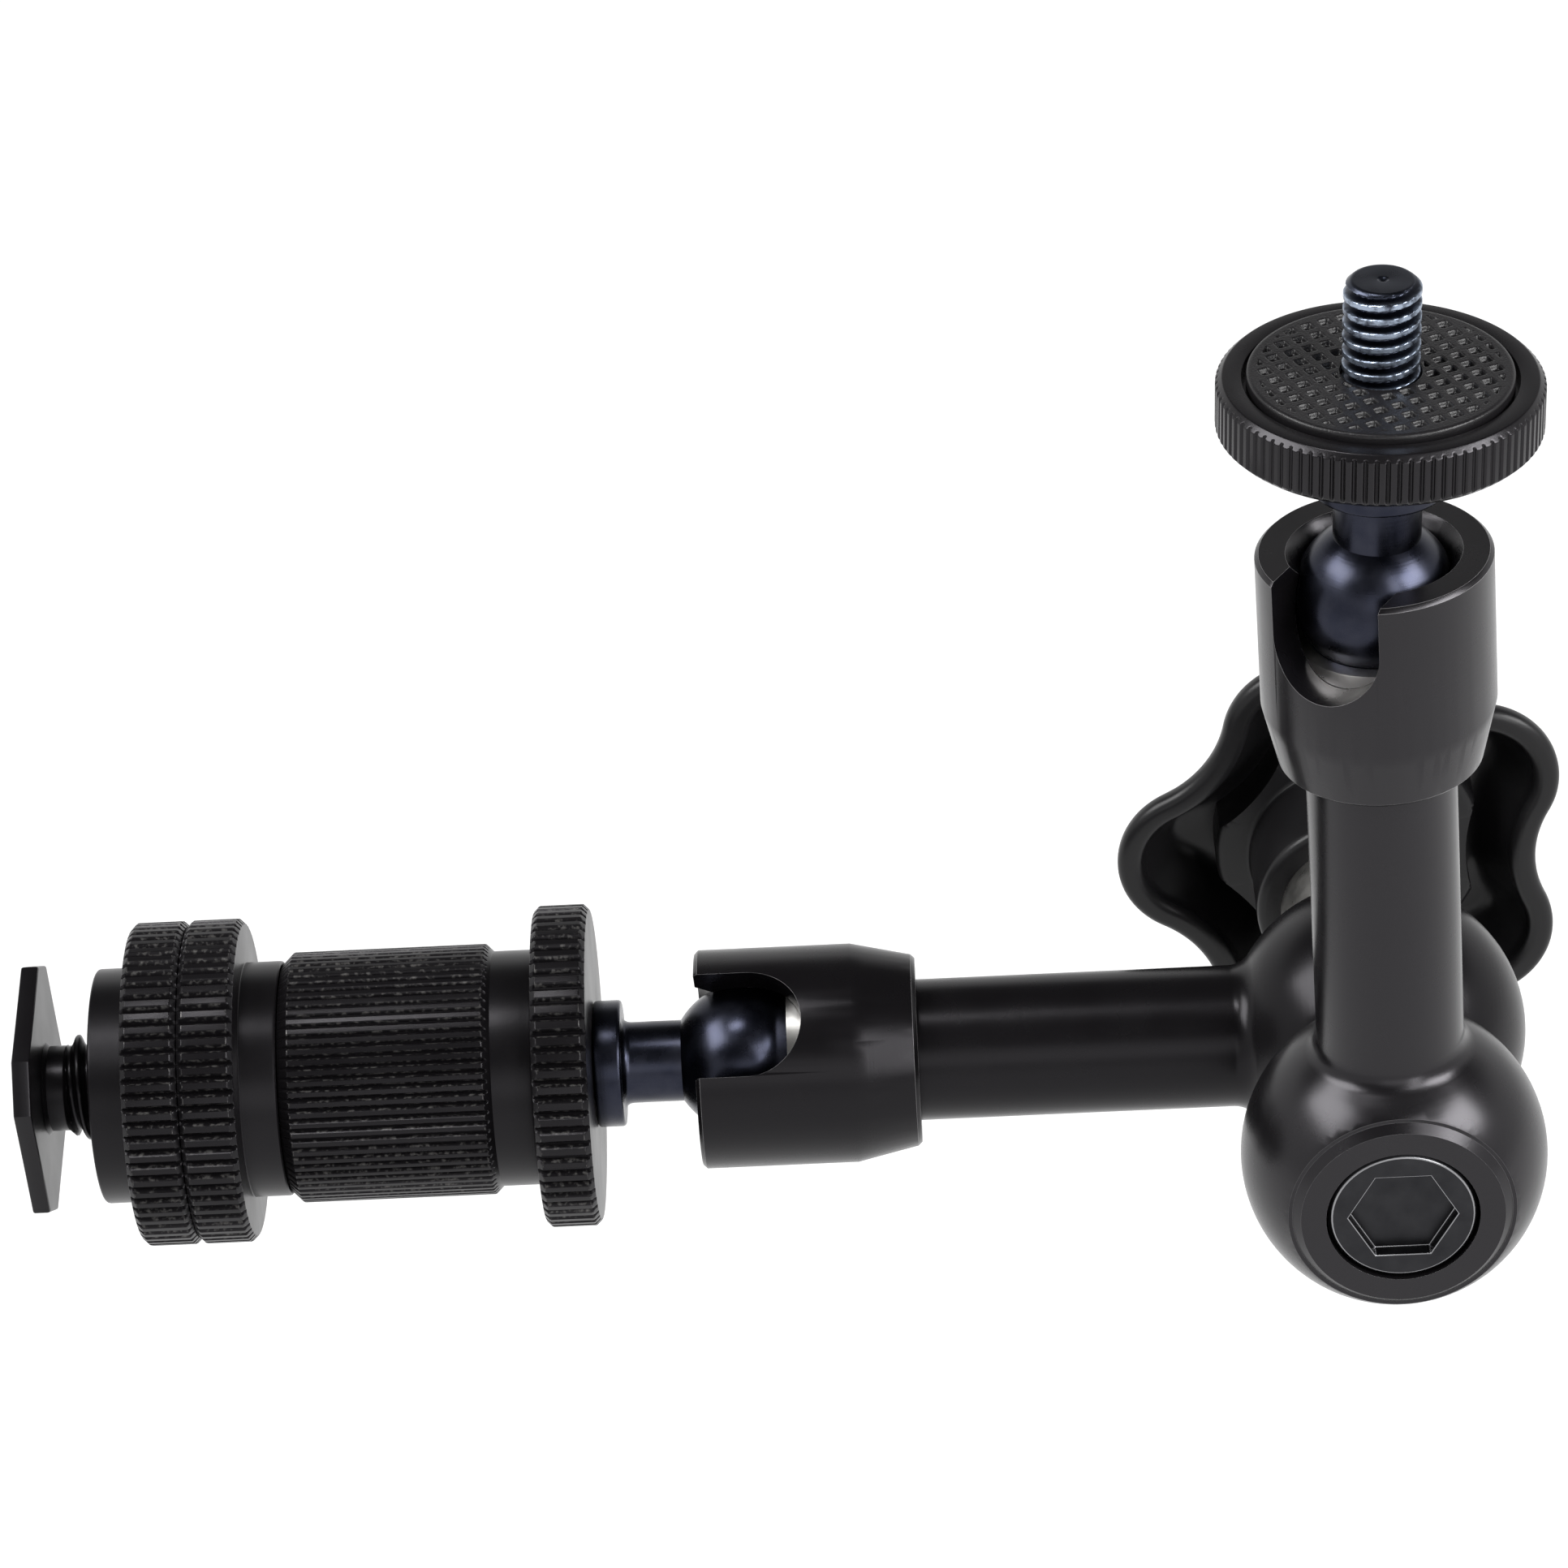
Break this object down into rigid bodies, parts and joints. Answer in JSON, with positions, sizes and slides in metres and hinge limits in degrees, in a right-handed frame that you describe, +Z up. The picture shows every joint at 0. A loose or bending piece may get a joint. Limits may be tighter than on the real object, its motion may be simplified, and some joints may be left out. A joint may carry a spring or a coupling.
{
  "type": "articulating friction arm",
  "caption": "Friction arm for camera accessories: ball-ended arms on a knob-locked elbow, camera platform at one end and shoe adapter at the other.",
  "frame": {"origin": "centre of the shoe foot's outer face", "axes": "+X from the shoe foot along the adapter and the lying arm to the elbow, +Y along the elbow axis toward the knob, +Z up"},
  "size_m": [0.141, 0.0695, 0.1072],
  "materials": {
    "anodised": "satin black anodised",
    "blued_steel": "polished dark blued",
    "bolt_steel": "black oxide",
    "bright_steel": "turned bright",
    "nylon": "plain",
    "pad_rubber": "matte with raised dots",
    "knob_plastic": "fine moulded satin"
  },
  "bodies": {
    "foot": {"shoe_foot": "anodised"},
    "lock_nut_front": {"lock_nut_front": "anodised"},
    "lock_nut_rear": {"lock_nut_rear": "anodised"},
    "adapter": {"adapter_barrel": "anodised", "ball_stud_b": "blued_steel"},
    "lock_disc": {"lock_disc": "anodised"},
    "arm_b": {"arm_b": "anodised", "socket_b": "anodised", "elbow_washer": "nylon"},
    "push_rod_b": {"push_rod_b": "bright_steel", "seat_cup_b": "bright_steel"},
    "wedge_b": {"wedge_b": "bright_steel", "thrust_washer": "bright_steel"},
    "knob": {"lock_knob": "knob_plastic", "knob_insert": "bright_steel"},
    "arm_a": {"arm_a": "anodised", "socket_a": "anodised", "release_spring": "bright_steel"},
    "push_rod_a": {"push_rod_a": "bright_steel", "seat_cup_a": "bright_steel"},
    "bolt": {"axle_bolt": "bolt_steel", "wedge_a": "bright_steel"},
    "stud_a": {"ball_stud_a": "blued_steel"},
    "platform_disc": {"platform_disc": "anodised", "platform_pad": "pad_rubber"}
  },
  "joints": [
    {"name": "lock_nut_front_spin", "type": "hinge", "parent": "foot", "child": "lock_nut_front", "pos_m": [0.0083, 0, 0], "axis": [1, 0, 0], "continuous": true},
    {"name": "lock_nut_rear_spin", "type": "hinge", "parent": "foot", "child": "lock_nut_rear", "pos_m": [0.021, 0, 0], "axis": [1, 0, 0], "continuous": true},
    {"name": "adapter_spin", "type": "hinge", "parent": "foot", "child": "adapter", "pos_m": [0.035, 0, 0], "axis": [1, 0, 0], "continuous": true},
    {"name": "lock_disc_spin", "type": "hinge", "parent": "adapter", "child": "lock_disc", "pos_m": [0.049, 0, 0], "axis": [1, 0, 0], "continuous": true},
    {"name": "ball_b_tilt", "type": "hinge", "parent": "adapter", "child": "arm_b", "pos_m": [0.0648, 0, 0], "axis": [0, -0.8192, -0.5736], "range_deg": [-30, 90]},
    {"name": "elbow_turn", "type": "hinge", "parent": "arm_b", "child": "arm_a", "pos_m": [0.1216, -0.0094, 0], "axis": [0, 1, 0], "range_deg": [-60, 240]},
    {"name": "ball_a_tilt", "type": "hinge", "parent": "arm_a", "child": "stud_a", "pos_m": [0.12011, -0.0188, 0.05678], "axis": [0.8384, -0.5446, 0.022], "range_deg": [-30, 90]},
    {"name": "platform_disc_spin", "type": "hinge", "parent": "stud_a", "child": "platform_disc", "pos_m": [0.12011, -0.0188, 0.05678], "axis": [0.0221, -0.0078, 0.9997], "continuous": true},
    {"name": "knob_turn", "type": "hinge", "parent": "wedge_b", "child": "knob", "pos_m": [0.1216, 0.03, 0], "axis": [0, 1, 0], "range_deg": [0, 270]},
    {"name": "wedge_b_slide", "type": "slide", "parent": "arm_b", "child": "wedge_b", "axis": [0, 1, 0], "range_m": [0, 0.00046875]},
    {"name": "bolt_slide", "type": "slide", "parent": "arm_a", "child": "bolt", "axis": [0, -1, 0], "range_m": [0, 0.00046875]},
    {"name": "push_rod_b_slide", "type": "slide", "parent": "arm_b", "child": "push_rod_b", "axis": [1, 0, 0], "range_m": [0, 0.00027063]},
    {"name": "push_rod_a_slide", "type": "slide", "parent": "arm_a", "child": "push_rod_a", "axis": [0.0262, 0, -0.9997], "range_m": [0, 0.00027063]}
  ],
  "couplings": [
    {"joint": "knob_turn", "follows": "wedge_b_slide", "rad_per_m": 10053},
    {"joint": "bolt_slide", "follows": "wedge_b_slide", "ratio": 1},
    {"joint": "push_rod_b_slide", "follows": "wedge_b_slide", "ratio": 0.57735},
    {"joint": "push_rod_a_slide", "follows": "wedge_b_slide", "ratio": 0.57735}
  ]
}
